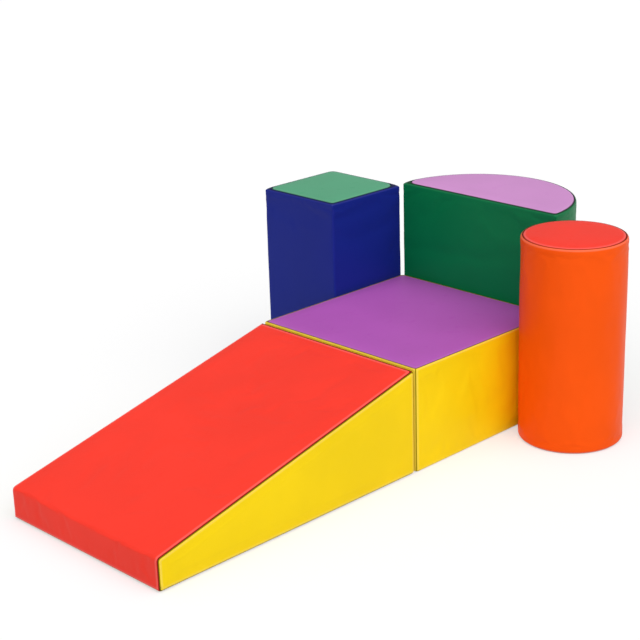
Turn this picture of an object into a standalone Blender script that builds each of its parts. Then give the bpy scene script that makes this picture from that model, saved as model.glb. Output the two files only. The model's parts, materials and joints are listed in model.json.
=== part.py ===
"""Soft play foam climber: a ramp, a platform, a square pillar, a half-round and a cylinder.

Each block is a foam core in a sewn vinyl cover. A cover is a top panel, a wall band and a base
panel, whose edges are turned in along the seams. The base panel has a zip in a sunk slot. Hook and
loop strips on the hidden faces hold the ramp, the pillar and the half-round to the platform.

Metres, +Z up. The origin is the middle of the platform's underside. The ramp runs along -X.
"""

import math

import bmesh
import bpy
from mathutils import Vector

# Blocks
platform_length = 0.400
platform_width = 0.400
platform_height = 0.203
ramp_length = 0.600
nose_height = 0.060
pillar_side = 0.200
pillar_height = 0.398
half_round_height = 0.404
cylinder_radius = 0.100
cylinder_height = 0.400
cylinder_x = 0.129

# Covers
cover_thickness = 0.0012
seat_gap = 0.0003
seam_gap = 0.0004
seam_depth = 0.009
tuck_gap = 0.0009
crease_width = 0.0006
crease_depth = 0.0013
lip_angle = math.radians(65)
wall_corner = 0.004
seam_corner = 0.016
top_crown = 0.0025
slide_crown = 0.0020
side_crown = 0.0012
mitre_depth = 0.006
nose_fold_radius = 0.010
core_margin = 0.0010

# Zips
slot_width = 0.011
slot_wall_height = 0.0050
tape_width = 0.012
tape_thickness = 0.0007
coil_width = 0.0023
coil_height = 0.0024
coil_parting = 0.0014
slider_length = 0.011
slider_plate = 0.0013
slider_neck = 0.0008
bridge_height = 0.0022
bridge_width = 0.0022
bridge_bar = 0.0009
end_stop = 0.0015
tape_tail = 0.010
ramp_zip_length = 0.280
platform_zip_length = 0.280
pillar_zip_length = 0.120
half_round_zip_length = 0.240
cylinder_zip_length = 0.110

# Hook and loop strips
strip_width = 0.025
strip_length = 0.140
strip_thickness = 0.0014
strip_corner = 0.004
strip_spread_share = 0.60

# Facets
corner_steps = 4
fold_steps = 5
arc_steps = 32
round_steps = 40
roll_steps = 3

# Worked out from the above
half_round_radius = platform_width / 2
core_gap = cover_thickness + seat_gap
seam_inset = 2 * cover_thickness + tuck_gap + seam_gap / 2
edge_roll = (seam_inset - crease_width) / (1 - math.cos(lip_angle))
core_cut = seam_depth + seam_inset + seam_gap / 2 + cover_thickness - 2 * core_gap + core_margin
joint_gap = 2 * strip_thickness + 3 * seat_gap
shoulder_width = 0.28 * nose_height
stand_gap = 2 * seat_gap

YELLOW = (0.96, 0.66, 0.01)
RED = (0.87, 0.05, 0.03)
PURPLE = (0.40, 0.09, 0.46)
BLUE = (0.02, 0.03, 0.22)
LEAF_GREEN = (0.13, 0.40, 0.25)
DEEP_GREEN = (0.01, 0.11, 0.05)
LILAC = (0.60, 0.27, 0.64)
ORANGE = (0.91, 0.10, 0.01)
FOAM = (0.80, 0.76, 0.62)
BLACK = (0.02, 0.02, 0.02)
STEEL = (0.55, 0.56, 0.58)

for item in list(bpy.data.objects):
    bpy.data.objects.remove(item, do_unlink=True)

parts = bpy.data.collections.new("soft_play_foam_climber")
cutters = bpy.data.collections.new("cutters")
bpy.context.scene.collection.children.link(parts)
bpy.context.scene.collection.children.link(cutters)


def block_origin(name, x, y):
    """An empty that carries one block; the block slides away from the platform with it."""
    origin = bpy.data.objects.new(name, None)
    origin.location = (x, y, 0)
    parts.objects.link(origin)
    return origin


def finish(obj, colour, roughness, metallic=0.0):
    """Gives a piece its own material."""
    material = bpy.data.materials.new(obj.name)
    material.use_nodes = True
    surface = material.node_tree.nodes["Principled BSDF"]
    surface.inputs["Base Color"].default_value = (*colour, 1)
    surface.inputs["Roughness"].default_value = roughness
    surface.inputs["Metallic"].default_value = metallic
    obj.data.materials.append(material)


def piece(name, bm, parent, colour, roughness=0.5, metallic=0.0, cutter=False):
    """Turns a bmesh into a named object, smooth except at its sharp edges."""
    mesh = bpy.data.meshes.new(name)
    bm.to_mesh(mesh)
    bm.free()
    mesh.shade_smooth()
    mesh.set_sharp_from_angle(angle=math.radians(35))
    obj = bpy.data.objects.new(name, mesh)
    obj.parent = parent
    if cutter:
        cutters.objects.link(obj)
        obj.hide_render = True
        obj.display_type = "WIRE"
    else:
        parts.objects.link(obj)
        finish(obj, colour, roughness, metallic)
    return obj


def shell(obj):
    """Gives an open cover panel the thickness of the vinyl, inwards."""
    solid = obj.modifiers.new("vinyl", "SOLIDIFY")
    solid.thickness = cover_thickness
    solid.offset = -1
    solid.use_even_offset = True
    return obj


def loft(rings, close_first=False, close_last=False):
    """Joins rings of as many points each, and closes the ends asked for with one flat face."""
    bm = bmesh.new()
    rows = [[bm.verts.new(point) for point in ring] for ring in rings]
    for row, following in zip(rows, rows[1:]):
        for k in range(len(row)):
            after = (k + 1) % len(row)
            bm.faces.new((row[k], row[after], following[after], following[k]))
    if close_first:
        bm.faces.new(list(reversed(rows[0])))
    if close_last:
        bm.faces.new(rows[-1])
    return bm


# Outlines, seen from above, anticlockwise


def arc(centre_x, centre_y, radius, start, end, steps):
    """Points along an arc, both ends included."""
    angles = [start + (end - start) * k / steps for k in range(steps + 1)]
    return [(centre_x + radius * math.cos(a), centre_y + radius * math.sin(a)) for a in angles]


def rounded_rectangle(length, width, inset, corner):
    """A rectangle drawn in by inset, with rounded corners."""
    reach_x = length / 2 - inset - corner
    reach_y = width / 2 - inset - corner
    points = []
    for k, (side_x, side_y) in enumerate(((1, 1), (-1, 1), (-1, -1), (1, -1))):
        start = k * math.pi / 2
        points += arc(side_x * reach_x, side_y * reach_y, corner, start, start + math.pi / 2, corner_steps)
    return points


def half_disc(radius, inset, corner):
    """Half a disc on +X with its flat side on the Y axis, drawn in by inset, corners rounded."""
    centre_x = inset + corner
    centre_y = math.sqrt((radius - inset - corner) ** 2 - centre_x**2)
    turn = math.atan2(centre_y, centre_x)
    points = arc(centre_x, -centre_y, corner, -math.pi, -turn, corner_steps)
    points += arc(0, 0, radius - inset, -turn, turn, arc_steps)[1:-1]
    points += arc(centre_x, centre_y, corner, turn, math.pi, corner_steps)
    return points


def disc(radius, inset):
    """A circle drawn in by inset."""
    return arc(0, 0, radius - inset, 0, 2 * math.pi, round_steps)[:-1]


# Cover of an upright block: wall band, top panel, base panel, and the foam inside


def raised(outline, inset, corner, height):
    return [(x, y, height) for x, y in outline(inset, corner)]


def rolled_edge():
    """The band's edge from the tip of its turned-in allowance to the wall: inset, corner, depth."""
    hidden = seam_inset - seam_gap / 2
    steps = [(hidden, seam_corner, seam_depth), (hidden, seam_corner, crease_depth)]
    for k in range(roll_steps + 1):
        left = 1 - k / roll_steps
        angle = lip_angle * left
        corner = wall_corner + (seam_corner - wall_corner) * left
        steps.append((edge_roll * (1 - math.cos(angle)), corner, edge_roll * (1 - math.sin(angle))))
    return steps


def wall_band(name, outline, height, parent, colour):
    """The strip round the block, rolled over at both edges and sewn to the top and the base."""
    edge = rolled_edge()
    rings = [raised(outline, inset, corner, depth) for inset, corner, depth in edge]
    rings += [raised(outline, inset, corner, height - depth) for inset, corner, depth in reversed(edge)]
    return shell(piece(name, loft(rings), parent, colour))


def seamed_edge():
    """A flat panel's edge, from the tip of its allowance to the face: inset, depth."""
    hidden = seam_inset + seam_gap / 2
    face = edge_roll * (1 - math.sin(lip_angle))
    return [
        (hidden, seam_depth),
        (hidden, crease_depth),
        (hidden + crease_width / 2, face + crease_width / 4),
        (hidden + crease_width * 2, face / 2),
        (hidden + edge_roll, 0),
    ]


def top_panel(name, outline, height, parent, colour):
    """The panel on top, crowned by the foam under it."""
    edge = seamed_edge()
    flat = edge[-1][0]
    rings = [raised(outline, inset, seam_corner, height - depth) for inset, depth in edge]
    for share, rise in ((0.35, 0.55), (1.0, 0.90), (2.2, 1.0)):
        inset = flat + share * shoulder_width
        rings.append(raised(outline, inset, seam_corner, height + rise * top_crown))
    return shell(piece(name, loft(rings, close_last=True), parent, colour))


def base_panel(name, outline, parent, colour):
    """The panel underneath, flat on the floor."""
    rings = [raised(outline, inset, seam_corner, depth)[::-1] for inset, depth in seamed_edge()]
    return shell(piece(name, loft(rings, close_last=True), parent, colour))


def foam_core(name, outline, height, parent):
    """The foam block, its edges pressed in by the seam allowances."""
    rings = [
        raised(outline, core_gap + core_cut, seam_corner, core_gap),
        raised(outline, core_gap, seam_corner, core_gap + core_cut),
        raised(outline, core_gap, seam_corner, height - core_gap - core_cut),
        raised(outline, core_gap + core_cut, seam_corner, height - core_gap),
    ]
    return piece(name, loft(rings, close_first=True, close_last=True), parent, FOAM, 0.9)


# Zip in the base panel: two tapes with half the coil each, and a slider with no pull


def box(name, size, centre, turn, parent, cutter=True):
    """A cutter or a plain block, turned about its own Z axis."""
    bm = bmesh.new()
    bmesh.ops.create_cube(bm, size=1)
    bmesh.ops.scale(bm, vec=size, verts=bm.verts)
    obj = piece(name, bm, parent, BLACK, cutter=cutter)
    obj.location = centre
    obj.rotation_euler = (0, 0, turn)
    return obj


def boolean(obj, operation, tool):
    step = obj.modifiers.new(tool.name, "BOOLEAN")
    step.operation = operation
    step.object = tool
    step.solver = "EXACT"


def prism(outline, start, end):
    """A cross-section in Y and Z, drawn out along X."""
    rings = [[(x, y, z) for y, z in outline] for x in (start, end)]
    bm = loft(rings, close_first=True, close_last=True)
    bmesh.ops.recalc_face_normals(bm, faces=bm.faces)
    return bm


tape_bottom = slot_wall_height + seat_gap
coil_top = tape_bottom + coil_height
lower_plate_top = tape_bottom - seat_gap
lower_plate_bottom = lower_plate_top - slider_plate
upper_plate_bottom = coil_top + seat_gap
slider_top = upper_plate_bottom + slider_plate
slider_half_width = coil_parting / 2 + coil_width + seat_gap + slider_plate


def zip_tape(name, side, length, centre, turn, parent):
    """One tape with its half of the coil along the inner edge."""
    inner = coil_parting / 2
    outer = slot_width / 2 + cover_thickness + tape_width / 2
    soft = coil_width / 4
    outline = [
        (inner, tape_bottom),
        (outer, tape_bottom),
        (outer, tape_bottom + tape_thickness),
        (inner + coil_width, tape_bottom + tape_thickness),
        (inner + coil_width, coil_top - soft),
        (inner + coil_width - soft, coil_top),
        (inner + soft, coil_top),
        (inner, coil_top - soft),
    ]
    reach = length / 2 + cover_thickness + tape_tail
    bm = prism([(side * y, z) for y, z in outline], -reach, reach)
    obj = piece(name, bm, parent, BLACK, 0.7)
    obj.location = centre
    obj.rotation_euler = (0, 0, turn)
    return obj


def zip_slider(name, length, centre, turn, parent):
    """The slider at the closed end: two plates round the coil, a neck and a bridge below."""
    neck = slider_neck / 2
    wide = slider_half_width
    flange = wide - slider_plate
    tape_top = tape_bottom + tape_thickness + seat_gap
    half = [
        (neck, lower_plate_top),
        (wide, lower_plate_top),
        (wide, lower_plate_bottom),
        (-wide, lower_plate_bottom),
        (-wide, lower_plate_top),
        (-neck, lower_plate_top),
        (-neck, upper_plate_bottom),
        (-flange, upper_plate_bottom),
        (-flange, tape_top),
        (-wide, tape_top),
        (-wide, slider_top),
        (wide, slider_top),
        (wide, tape_top),
        (flange, tape_top),
        (flange, upper_plate_bottom),
        (neck, upper_plate_bottom),
    ]
    bm = prism(half, -slider_length / 2, slider_length / 2)
    obj = piece(name, bm, parent, STEEL, 0.35, 1.0)
    rest = end_stop + slider_length / 2 - length / 2
    place = Vector(centre) + Vector((rest * math.cos(turn), rest * math.sin(turn), 0))
    obj.location = place
    obj.rotation_euler = (0, 0, turn)
    foot = 0.34 * slider_length
    crest = 0.25 * slider_length
    sunk = lower_plate_bottom + slider_plate / 2
    arch = [
        (-foot, sunk),
        (-crest, lower_plate_bottom - bridge_height),
        (crest, lower_plate_bottom - bridge_height),
        (foot, sunk),
        (foot - bridge_bar, sunk),
        (crest - bridge_bar / 2, lower_plate_bottom - bridge_height + bridge_bar),
        (bridge_bar / 2 - crest, lower_plate_bottom - bridge_height + bridge_bar),
        (bridge_bar - foot, sunk),
    ]
    sides = (-bridge_width / 2, bridge_width / 2)
    bm = loft([[(x, y, z) for x, z in arch] for y in sides], close_first=True, close_last=True)
    bmesh.ops.recalc_face_normals(bm, faces=bm.faces)
    bridge = piece(name + "_bridge", bm, parent, STEEL, cutter=True)
    bridge.location = place
    bridge.rotation_euler = (0, 0, turn)
    boolean(obj, "UNION", bridge)
    return obj


def zip_in_base(block, base, core, length, centre, turn, parent):
    """Sinks a slot with turned-up walls into the base panel, and fits the tapes and the slider."""
    x, y = centre
    collar_size = (length + 2 * cover_thickness, slot_width + 2 * cover_thickness, slot_wall_height)
    collar = box(block + "_slot_walls", collar_size, (x, y, slot_wall_height / 2), turn, parent)
    slot_height = 4 * slot_wall_height
    slot = box(block + "_slot", (length, slot_width, slot_height), (x, y, 0), turn, parent)
    boolean(base, "UNION", collar)
    boolean(base, "DIFFERENCE", slot)
    groove_top = slider_top + core_margin
    groove_size = (
        length + 2 * (cover_thickness + tape_tail + core_margin),
        slot_width + 2 * cover_thickness + tape_width + 2 * core_margin,
        2 * groove_top,
    )
    groove = box(block + "_zip_groove", groove_size, (x, y, 0), turn, parent)
    boolean(core, "DIFFERENCE", groove)
    seat = (x, y, 0)
    zip_tape(block + "_zip_tape_inner", 1, length, seat, turn, parent)
    zip_tape(block + "_zip_tape_outer", -1, length, seat, turn, parent)
    zip_slider(block + "_zip_slider", length, seat, turn, parent)


# Hook and loop strips


def strip(name, location, rotation, parent):
    """A sewn-on strip: its back lies on the local plane z = 0."""
    outline = rounded_rectangle(strip_length, strip_width, 0, strip_corner)
    rings = [[(x, y, z) for x, y in outline] for z in (0, strip_thickness)]
    bm = loft(rings, close_first=True, close_last=True)
    obj = piece(name, bm, parent, BLACK, 0.95)
    obj.location = location
    obj.rotation_euler = rotation
    return obj


faces_plus_x = (0, math.pi / 2, 0)
faces_minus_x = (0, -math.pi / 2, 0)
faces_plus_y = (-math.pi / 2, 0, 0)
faces_minus_y = (math.pi / 2, 0, 0)
strip_height = platform_height / 2
strip_spread = strip_spread_share * platform_width / 2


def upright_block(block, outline, height, origin, wall_colour, top_colour):
    """Core, band, top and base of a block whose walls stand upright; returns core and base."""
    core = foam_core(block + "_foam_core", outline, height, origin)
    wall_band(block + "_side_band", outline, height, origin, wall_colour)
    top_panel(block + "_top_panel", outline, height, origin, top_colour)
    base = base_panel(block + "_base_panel", outline, origin, wall_colour)
    return core, base


# Platform: the square block that the others stand against

platform_origin = block_origin("platform_origin", 0, 0)


def platform_outline(inset, corner):
    return rounded_rectangle(platform_length, platform_width, inset, corner)


core, base = upright_block(
    "platform", platform_outline, platform_height, platform_origin, YELLOW, PURPLE
)
platform_zip_y = 0.30 * platform_width
zip_in_base(
    "platform", base, core, platform_zip_length, (0, platform_zip_y), 0, platform_origin
)
platform_face_x = platform_length / 2 + seat_gap
for side, label in ((1, "left"), (-1, "right")):
    strip(
        "platform_loop_strip_ramp_" + label,
        (-platform_face_x, side * strip_spread, strip_height),
        faces_minus_x,
        platform_origin,
    )
    strip(
        "platform_loop_strip_half_round_" + label,
        (platform_face_x, side * strip_spread, strip_height),
        faces_plus_x,
        platform_origin,
    )
pillar_x = platform_length / 2 - pillar_side / 2
strip(
    "platform_loop_strip_pillar",
    (pillar_x, platform_width / 2 + seat_gap, strip_height),
    faces_plus_y,
    platform_origin,
)

# Pillar: the tall square block behind the platform

pillar_origin = block_origin(
    "pillar_origin", pillar_x, platform_width / 2 + joint_gap + pillar_side / 2
)


def pillar_outline(inset, corner):
    return rounded_rectangle(pillar_side, pillar_side, inset, corner)


core, base = upright_block("pillar", pillar_outline, pillar_height, pillar_origin, BLUE, LEAF_GREEN)
zip_in_base(
    "pillar", base, core, pillar_zip_length, (0, 0.25 * pillar_side), 0, pillar_origin
)
strip(
    "pillar_hook_strip", (0, -pillar_side / 2 - seat_gap, strip_height), faces_minus_y, pillar_origin
)

# Half-round: half a drum, its flat face against the end of the platform

half_round_origin = block_origin("half_round_origin", platform_length / 2 + joint_gap, 0)


def half_round_outline(inset, corner):
    return half_disc(half_round_radius, inset, corner)


core, base = upright_block(
    "half_round", half_round_outline, half_round_height, half_round_origin, DEEP_GREEN, LILAC
)
zip_in_base(
    "half_round",
    base,
    core,
    half_round_zip_length,
    (0.25 * half_round_radius, 0),
    math.pi / 2,
    half_round_origin,
)
for side, label in ((1, "left"), (-1, "right")):
    strip(
        "half_round_hook_strip_" + label,
        (-seat_gap, side * strip_spread, strip_height),
        faces_minus_x,
        half_round_origin,
    )

# Cylinder: stands by itself beside the platform

cylinder_origin = block_origin(
    "cylinder_origin", cylinder_x, -platform_width / 2 - stand_gap - cylinder_radius
)


def cylinder_outline(inset, corner):
    return disc(cylinder_radius, inset)


core, base = upright_block(
    "cylinder", cylinder_outline, cylinder_height, cylinder_origin, ORANGE, RED
)
zip_in_base(
    "cylinder", base, core, cylinder_zip_length, (0, 0.30 * cylinder_radius), 0, cylinder_origin
)

# Ramp: a wedge with a blunt nose. Local x = 0 is its tall back, and the nose is at -ramp_length.

ramp_origin = block_origin("ramp_origin", -platform_length / 2 - joint_gap, 0)
slope_angle = math.atan2(platform_height - nose_height, ramp_length)
slope_length = math.hypot(platform_height - nose_height, ramp_length)
fold_turn = math.pi / 2 - slope_angle
fold_reach = nose_fold_radius * math.tan(fold_turn / 2)
square_turn = math.pi / 4
back_top_turn = (math.pi / 2 + slope_angle) / 2
half_width = platform_width / 2


def mitred_edge(turn):
    """A panel's edge at a mitred seam, tip to face: distance from the block's edge, and depth.

    turn is half the angle by which the cover turns at the seam.
    """
    radius = crease_depth / (1 - math.cos(turn))
    reach = radius * math.tan(turn)
    return [
        (mitre_depth * math.tan(turn) + seam_gap / 2, mitre_depth),
        (crease_depth * math.tan(turn) + seam_gap / 2, crease_depth),
        (reach - radius * math.sin(turn / 2), radius * (1 - math.cos(turn / 2))),
        (reach, 0),
    ]


def ramp_outline(inset, cut=0):
    """The wedge seen from the side, drawn in by inset, its three sharp corners cut by cut.

    Seen from -Y it runs anticlockwise: nose bottom, back bottom, back top, nose fold.
    """
    left = inset - ramp_length
    right = -inset
    top = platform_height - inset / math.cos(slope_angle) - inset * math.tan(slope_angle)
    fold = max(nose_fold_radius - inset, nose_fold_radius / 8)
    fold_x = left + fold
    fold_z = top - (right - fold_x) * math.tan(slope_angle) - fold / math.cos(slope_angle)
    run_x = cut * math.cos(slope_angle)
    run_z = cut * math.sin(slope_angle)
    corners = [
        ((left, inset + cut), (left + cut, inset)),
        ((right - cut, inset), (right, inset + cut)),
        ((right, top - cut), (right - run_x, top - run_z)),
    ]
    points = []
    for before, after in corners:
        points += [before, after] if cut else [before]
    return points + arc(
        fold_x, fold_z, fold, math.pi / 2 + slope_angle, math.pi, fold_steps
    )


def ramp_side(name, side):
    """A yellow side panel, crowned inside its border."""
    edge = mitred_edge(square_turn)
    rings = []
    for inset, depth in edge:
        y = side * (half_width - depth)
        rings.append([(x, y, z) for x, z in ramp_outline(inset)])
    for share, rise in ((0.35, 0.55), (1.0, 1.0)):
        inset = edge[-1][0] + share * shoulder_width
        y = side * (half_width + rise * side_crown)
        rings.append([(x, y, z) for x, z in ramp_outline(inset)])
    if side > 0:
        rings = [ring[::-1] for ring in rings]
    return shell(piece(name, loft(rings, close_last=True), ramp_origin, YELLOW))


def ramp_back():
    """The tall back panel, kept flat by the platform it lies against."""
    rings = []
    for (inset, depth), (top_inset, _) in zip(mitred_edge(square_turn), mitred_edge(back_top_turn)):
        y = half_width - inset
        low, high = inset, platform_height - top_inset
        rings.append([(-depth, -y, low), (-depth, y, low), (-depth, y, high), (-depth, -y, high)])
    return shell(piece("ramp_back_panel", loft(rings, close_last=True), ramp_origin, YELLOW))


def ramp_base():
    rings = []
    for inset, depth in mitred_edge(square_turn):
        y = half_width - inset
        near, far = -inset, inset - ramp_length
        rings.append([(near, -y, depth), (far, -y, depth), (far, y, depth), (near, y, depth)])
    return shell(piece("ramp_base_panel", loft(rings, close_last=True), ramp_origin, YELLOW))


nose_run = nose_height - fold_reach
fold_run = nose_fold_radius * fold_turn
slide_run = nose_run + fold_run + slope_length - fold_reach


def slide_place(run, across, lift):
    """A point of the slide panel: run up the nose, over the fold and up the slope."""
    if run < nose_run:
        return Vector((-ramp_length - lift, across, run))
    if run < nose_run + fold_run:
        angle = math.pi - (run - nose_run) / nose_fold_radius
        reach = nose_fold_radius + lift
        centre_x = nose_fold_radius - ramp_length
        return Vector((centre_x + reach * math.cos(angle), across, nose_run + reach * math.sin(angle)))
    left = slide_run - run
    x = -left * math.cos(slope_angle) - lift * math.sin(slope_angle)
    z = platform_height - left * math.sin(slope_angle) + lift * math.cos(slope_angle)
    return Vector((x, across, z))


def stations(edge_start, edge_end, total, inner):
    """Grid lines from one border to the other, with shoulder lines just inside each."""
    start = [edge_start, edge_start + 0.35 * shoulder_width, edge_start + shoulder_width]
    end = [total - edge_end - shoulder_width, total - edge_end - 0.35 * shoulder_width, total - edge_end]
    return start + inner + end


def ramp_slide():
    """The red panel over the nose and the slope in one piece, crowned on the slope."""
    foot = mitred_edge(square_turn)
    head = mitred_edge(back_top_turn)
    sides = mitred_edge(square_turn)
    fold_start, fold_end = nose_run, nose_run + fold_run
    fold = [fold_start + (fold_end - fold_start) * k / fold_steps for k in range(fold_steps + 1)]
    slope_start = fold_end + shoulder_width
    slope_end = slide_run - head[-1][0] - shoulder_width
    slope = [slope_start + (slope_end - slope_start) * k / 4 for k in range(5)]
    runs = [foot[-1][0], *fold, *slope, slide_run - head[-1][0]]
    inner = [platform_width * k / 4 for k in range(1, 4)]
    crossings = stations(sides[-1][0], sides[-1][0], platform_width, inner)

    def crown(run, across):
        from_side = min(across, platform_width - across) - sides[-1][0]
        from_end = min(run - fold_end, slide_run - run - head[-1][0])
        share = min(from_side, from_end, shoulder_width) / shoulder_width
        return slide_crown * math.sin(max(share, 0) * math.pi / 2)

    bm = bmesh.new()
    bmesh.ops.create_grid(bm, x_segments=len(runs) - 1, y_segments=len(crossings) - 1, size=1)
    spots = {}
    for vert in bm.verts:
        i = round((vert.co.x + 1) / 2 * (len(runs) - 1))
        j = round((vert.co.y + 1) / 2 * (len(crossings) - 1))
        run, across = runs[i], crossings[j]
        vert.co = slide_place(run, across - half_width, crown(run, across))
        spots[vert] = (i, j)
    last_i, last_j = len(runs) - 1, len(crossings) - 1
    for step in (2, 1, 0):
        border = [edge for edge in bm.edges if edge.is_boundary]
        grown = bmesh.ops.extrude_edge_only(bm, edges=border)["geom"]
        fresh = {}
        for vert in [item for item in grown if isinstance(item, bmesh.types.BMVert)]:
            neighbours = [edge.other_vert(vert) for edge in vert.link_edges]
            fresh[vert] = next(spots[other] for other in neighbours if other in spots)
        for vert, (i, j) in fresh.items():
            run, across = runs[i], crossings[j]
            if i == 0:
                run = foot[step][0]
            if i == last_i:
                run = slide_run - head[step][0]
            if j == 0:
                across = sides[step][0]
            if j == last_j:
                across = platform_width - sides[step][0]
            vert.co = slide_place(run, across - half_width, -sides[step][1])
        spots = fresh
    return shell(piece("ramp_slide_panel", bm, ramp_origin, RED))


def ramp_core():
    """The foam wedge, its edges cut back to clear the mitred seams."""
    cut = 2 * mitre_depth
    rings = []
    for y, inset in (
        (core_gap - half_width, core_gap + cut),
        (core_gap + cut - half_width, core_gap),
        (half_width - core_gap - cut, core_gap),
        (half_width - core_gap, core_gap + cut),
    ):
        rings.append([(x, y, z) for x, z in ramp_outline(inset, cut)])
    bm = loft(rings, close_first=True, close_last=True)
    bmesh.ops.recalc_face_normals(bm, faces=bm.faces)
    return piece("ramp_foam_core", bm, ramp_origin, FOAM, 0.9)


core = ramp_core()
ramp_slide()
ramp_side("ramp_side_panel_left", 1)
ramp_side("ramp_side_panel_right", -1)
ramp_back()
base = ramp_base()
zip_in_base(
    "ramp", base, core, ramp_zip_length, (-0.20 * ramp_length, 0), math.pi / 2, ramp_origin
)
for side, label in ((1, "left"), (-1, "right")):
    strip(
        "ramp_hook_strip_" + label,
        (seat_gap, side * strip_spread, strip_height),
        faces_plus_x,
        ramp_origin,
    )
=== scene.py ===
import json
import math
from functools import partial

import bmesh
import bpy
from mathutils import Matrix, Vector, noise


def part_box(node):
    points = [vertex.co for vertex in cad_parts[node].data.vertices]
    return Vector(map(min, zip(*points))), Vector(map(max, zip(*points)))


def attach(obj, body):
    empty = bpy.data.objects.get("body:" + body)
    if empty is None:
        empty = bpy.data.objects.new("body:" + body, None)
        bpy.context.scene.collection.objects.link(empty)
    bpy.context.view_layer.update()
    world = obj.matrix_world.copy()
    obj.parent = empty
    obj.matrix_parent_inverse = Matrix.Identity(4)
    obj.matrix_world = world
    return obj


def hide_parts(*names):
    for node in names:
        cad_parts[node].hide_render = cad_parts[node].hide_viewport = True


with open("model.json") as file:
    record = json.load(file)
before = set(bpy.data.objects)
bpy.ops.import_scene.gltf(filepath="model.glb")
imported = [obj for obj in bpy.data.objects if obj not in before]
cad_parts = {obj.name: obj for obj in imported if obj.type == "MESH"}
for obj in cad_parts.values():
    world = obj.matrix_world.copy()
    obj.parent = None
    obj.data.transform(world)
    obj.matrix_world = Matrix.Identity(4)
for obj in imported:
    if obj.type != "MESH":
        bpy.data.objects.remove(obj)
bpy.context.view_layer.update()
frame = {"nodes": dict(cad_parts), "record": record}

# Foam cores: one block of soft polyether foam in each cover, cut with a hot wire. The seam
# allowances press its edges round, and the zip presses a shallow channel into its underside.
# It shows only where a zip is opened.

quarter = math.pi / 2
upright_blocks = ("platform", "pillar", "half_round", "cylinder")
corner_softness = {
    "platform": (0.7, 0.4, 0.4, 0.6),
    "pillar": (0.8, 1.5, 0.5, 2.2),
    "half_round": (0.5, 1.7),
    "cylinder": (),
}
top_crown = 0.0025
nose_height = 0.060
nose_fold_radius = 0.008
tape_tail = 0.010
cover_thickness = 0.0012
core_clearance = 0.0042
core_edge = 0.014
core_edge_steps = 4
foam_step = 0.0075
closing_rings = 14
least_bend_steps = 4
least_fold_share = 1 / 8
channel_depth = 0.0115
channel_width = 0.020
channel_shoulder = 0.012
pore_scale = 620.0
pore_depth = 0.0006
foam_cloud = {"Scale": 18.0, "Detail": 4.0}
wire_marks = {"Scale": 30.0, "Distortion": 6.0}
wire_mark_share = 0.3
foam_roughness = 0.95
foam_sheen = 0.2
FOAM_COLOUR = (0.80, 0.76, 0.60, 1)
FOAM_SHADE = (0.66, 0.60, 0.42, 1)


def span(node):
    """The lowest and the highest corner of a node."""
    low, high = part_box(node)
    return Vector(low), Vector(high)


def square_path(length, width, softness=(1, 1, 1, 1)):
    """Corner arcs of a rectangle, anticlockwise: centre, radius, start angle, end angle.

    softness makes single corners rounder or sharper than the rest.
    """

    def arcs(inset, corner):
        listed = []
        for k, (x, y) in enumerate(((1, 1), (-1, 1), (-1, -1), (1, -1))):
            bend = corner * softness[k]
            centre = Vector((x * (length / 2 - inset - bend), y * (width / 2 - inset - bend)))
            listed.append((centre, bend, k * quarter, (k + 1) * quarter))
        return listed

    return arcs


def half_disc_path(radius, softness=(1, 1)):
    """Half a disc on +X, its flat side on the Y axis."""

    def arcs(inset, corner):
        bends = [corner * share for share in softness]
        centres = []
        for side, bend in zip((-1, 1), bends):
            x = inset + bend
            centres.append(Vector((x, side * math.sqrt((radius - x) ** 2 - x**2))))
        turns = [math.atan2(centre.y, centre.x) for centre in centres]
        return [
            (centres[0], bends[0], -math.pi, turns[0]),
            (Vector((0, 0)), radius - inset, turns[0], turns[1]),
            (centres[1], bends[1], turns[1], math.pi),
        ]

    return arcs


def disc_path(radius):
    """A circle in four arcs."""

    def arcs(inset, corner):
        return [(Vector((0, 0)), radius - inset, k * quarter, (k + 1) * quarter) for k in range(4)]

    return arcs


def wedge_path(length, height, nose, fold):
    """The ramp from its side: nose bottom, back bottom, back top, nose fold."""
    slope = math.atan2(height - nose, length)

    def arcs(inset, corner):
        reach = inset + corner
        bend = max(fold - inset, fold * least_fold_share)
        far = inset + bend
        drop = math.tan(slope) + 1 / math.cos(slope)
        fold_x = far - length
        fold_y = height + fold_x * math.tan(slope) - far / math.cos(slope)
        slope_turn = quarter + slope
        return [
            (Vector((reach - length, reach)), corner, math.pi, 3 * quarter),
            (Vector((-reach, reach)), corner, -quarter, 0),
            (Vector((-reach, height - reach * drop)), corner, 0, slope_turn),
            (Vector((fold_x, fold_y)), bend, slope_turn, math.pi),
        ]

    return arcs


def arc_point(arc, share):
    """The point at a share of an arc's turn."""
    centre, radius, start, end = arc
    angle = start + (end - start) * share
    return centre + radius * Vector((math.cos(angle), math.sin(angle)))


def stations_of(arcs, spacing):
    """Places along an outline: the arc's number, whether on the straight run after it, the share.

    A corner too small for the spacing gets no place, and any other at least a few.
    """
    listed = []
    for k, arc in enumerate(arcs):
        following = arcs[(k + 1) % len(arcs)]
        _, radius, start, end = arc
        bend = max(radius * (end - start), 0)
        run = (arc_point(following, 0) - arc_point(arc, 1)).length
        for on_run, length in ((False, bend), (True, run)):
            steps = round(length / spacing)
            if not on_run and 0 < steps < least_bend_steps:
                steps = least_bend_steps
            listed += [(k, on_run, step / steps) for step in range(steps)]
    return listed


def ring(arcs, stations):
    """The outline's points at the stations."""
    points = []
    for k, on_run, share in stations:
        if on_run:
            points.append(arc_point(arcs[k], 1).lerp(arc_point(arcs[(k + 1) % len(arcs)], 0), share))
        else:
            points.append(arc_point(arcs[k], share))
    return points


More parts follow.
